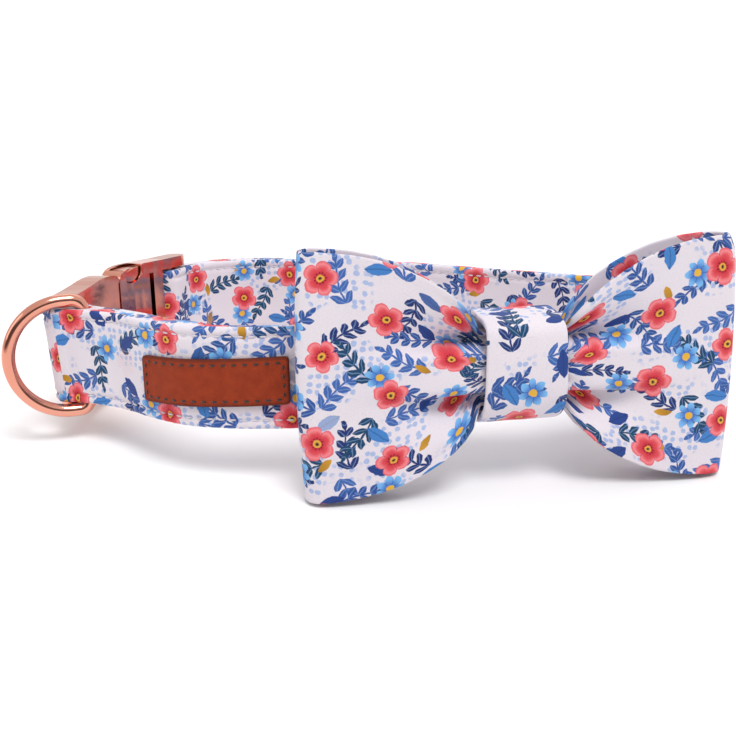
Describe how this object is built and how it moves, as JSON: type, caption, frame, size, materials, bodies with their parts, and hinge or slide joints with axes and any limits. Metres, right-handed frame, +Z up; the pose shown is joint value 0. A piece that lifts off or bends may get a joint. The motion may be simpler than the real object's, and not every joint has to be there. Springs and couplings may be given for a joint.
{
  "type": "pet bow tie collar",
  "caption": "Floral cloth pet collar, fastened in a loop, with a pleated bow tie on its front, a leather label, a D-ring and a side-release buckle.",
  "frame": {"origin": "middle of the bounding box, on the floor it rests on", "axes": "+Z up from the floor, +X along the collar's longest side towards the bow's free end, -Y the side that shows the bow and the label"},
  "size_m": [0.1844, 0.1267, 0.0593],
  "materials": {
    "printed_cloth": "matte",
    "printed_cloth_knot": "matte",
    "rose_gold": "polished",
    "tan_leather": "satin"
  },
  "bodies": {
    "collar": {"strap": "printed_cloth", "leather_label": "tan_leather", "buckle_male": "rose_gold", "buckle_female": "rose_gold", "bow": "printed_cloth", "knot_band": "printed_cloth_knot"},
    "ring": {"d_ring": "rose_gold"}
  },
  "joints": [
    {"name": "d_ring_swing", "type": "hinge", "parent": "collar", "child": "ring", "pos_m": [-0.07226, -0.01995, 0.02292], "axis": [-0.0154, 0.0991, 0.995], "range_deg": [0, 105]}
  ]
}
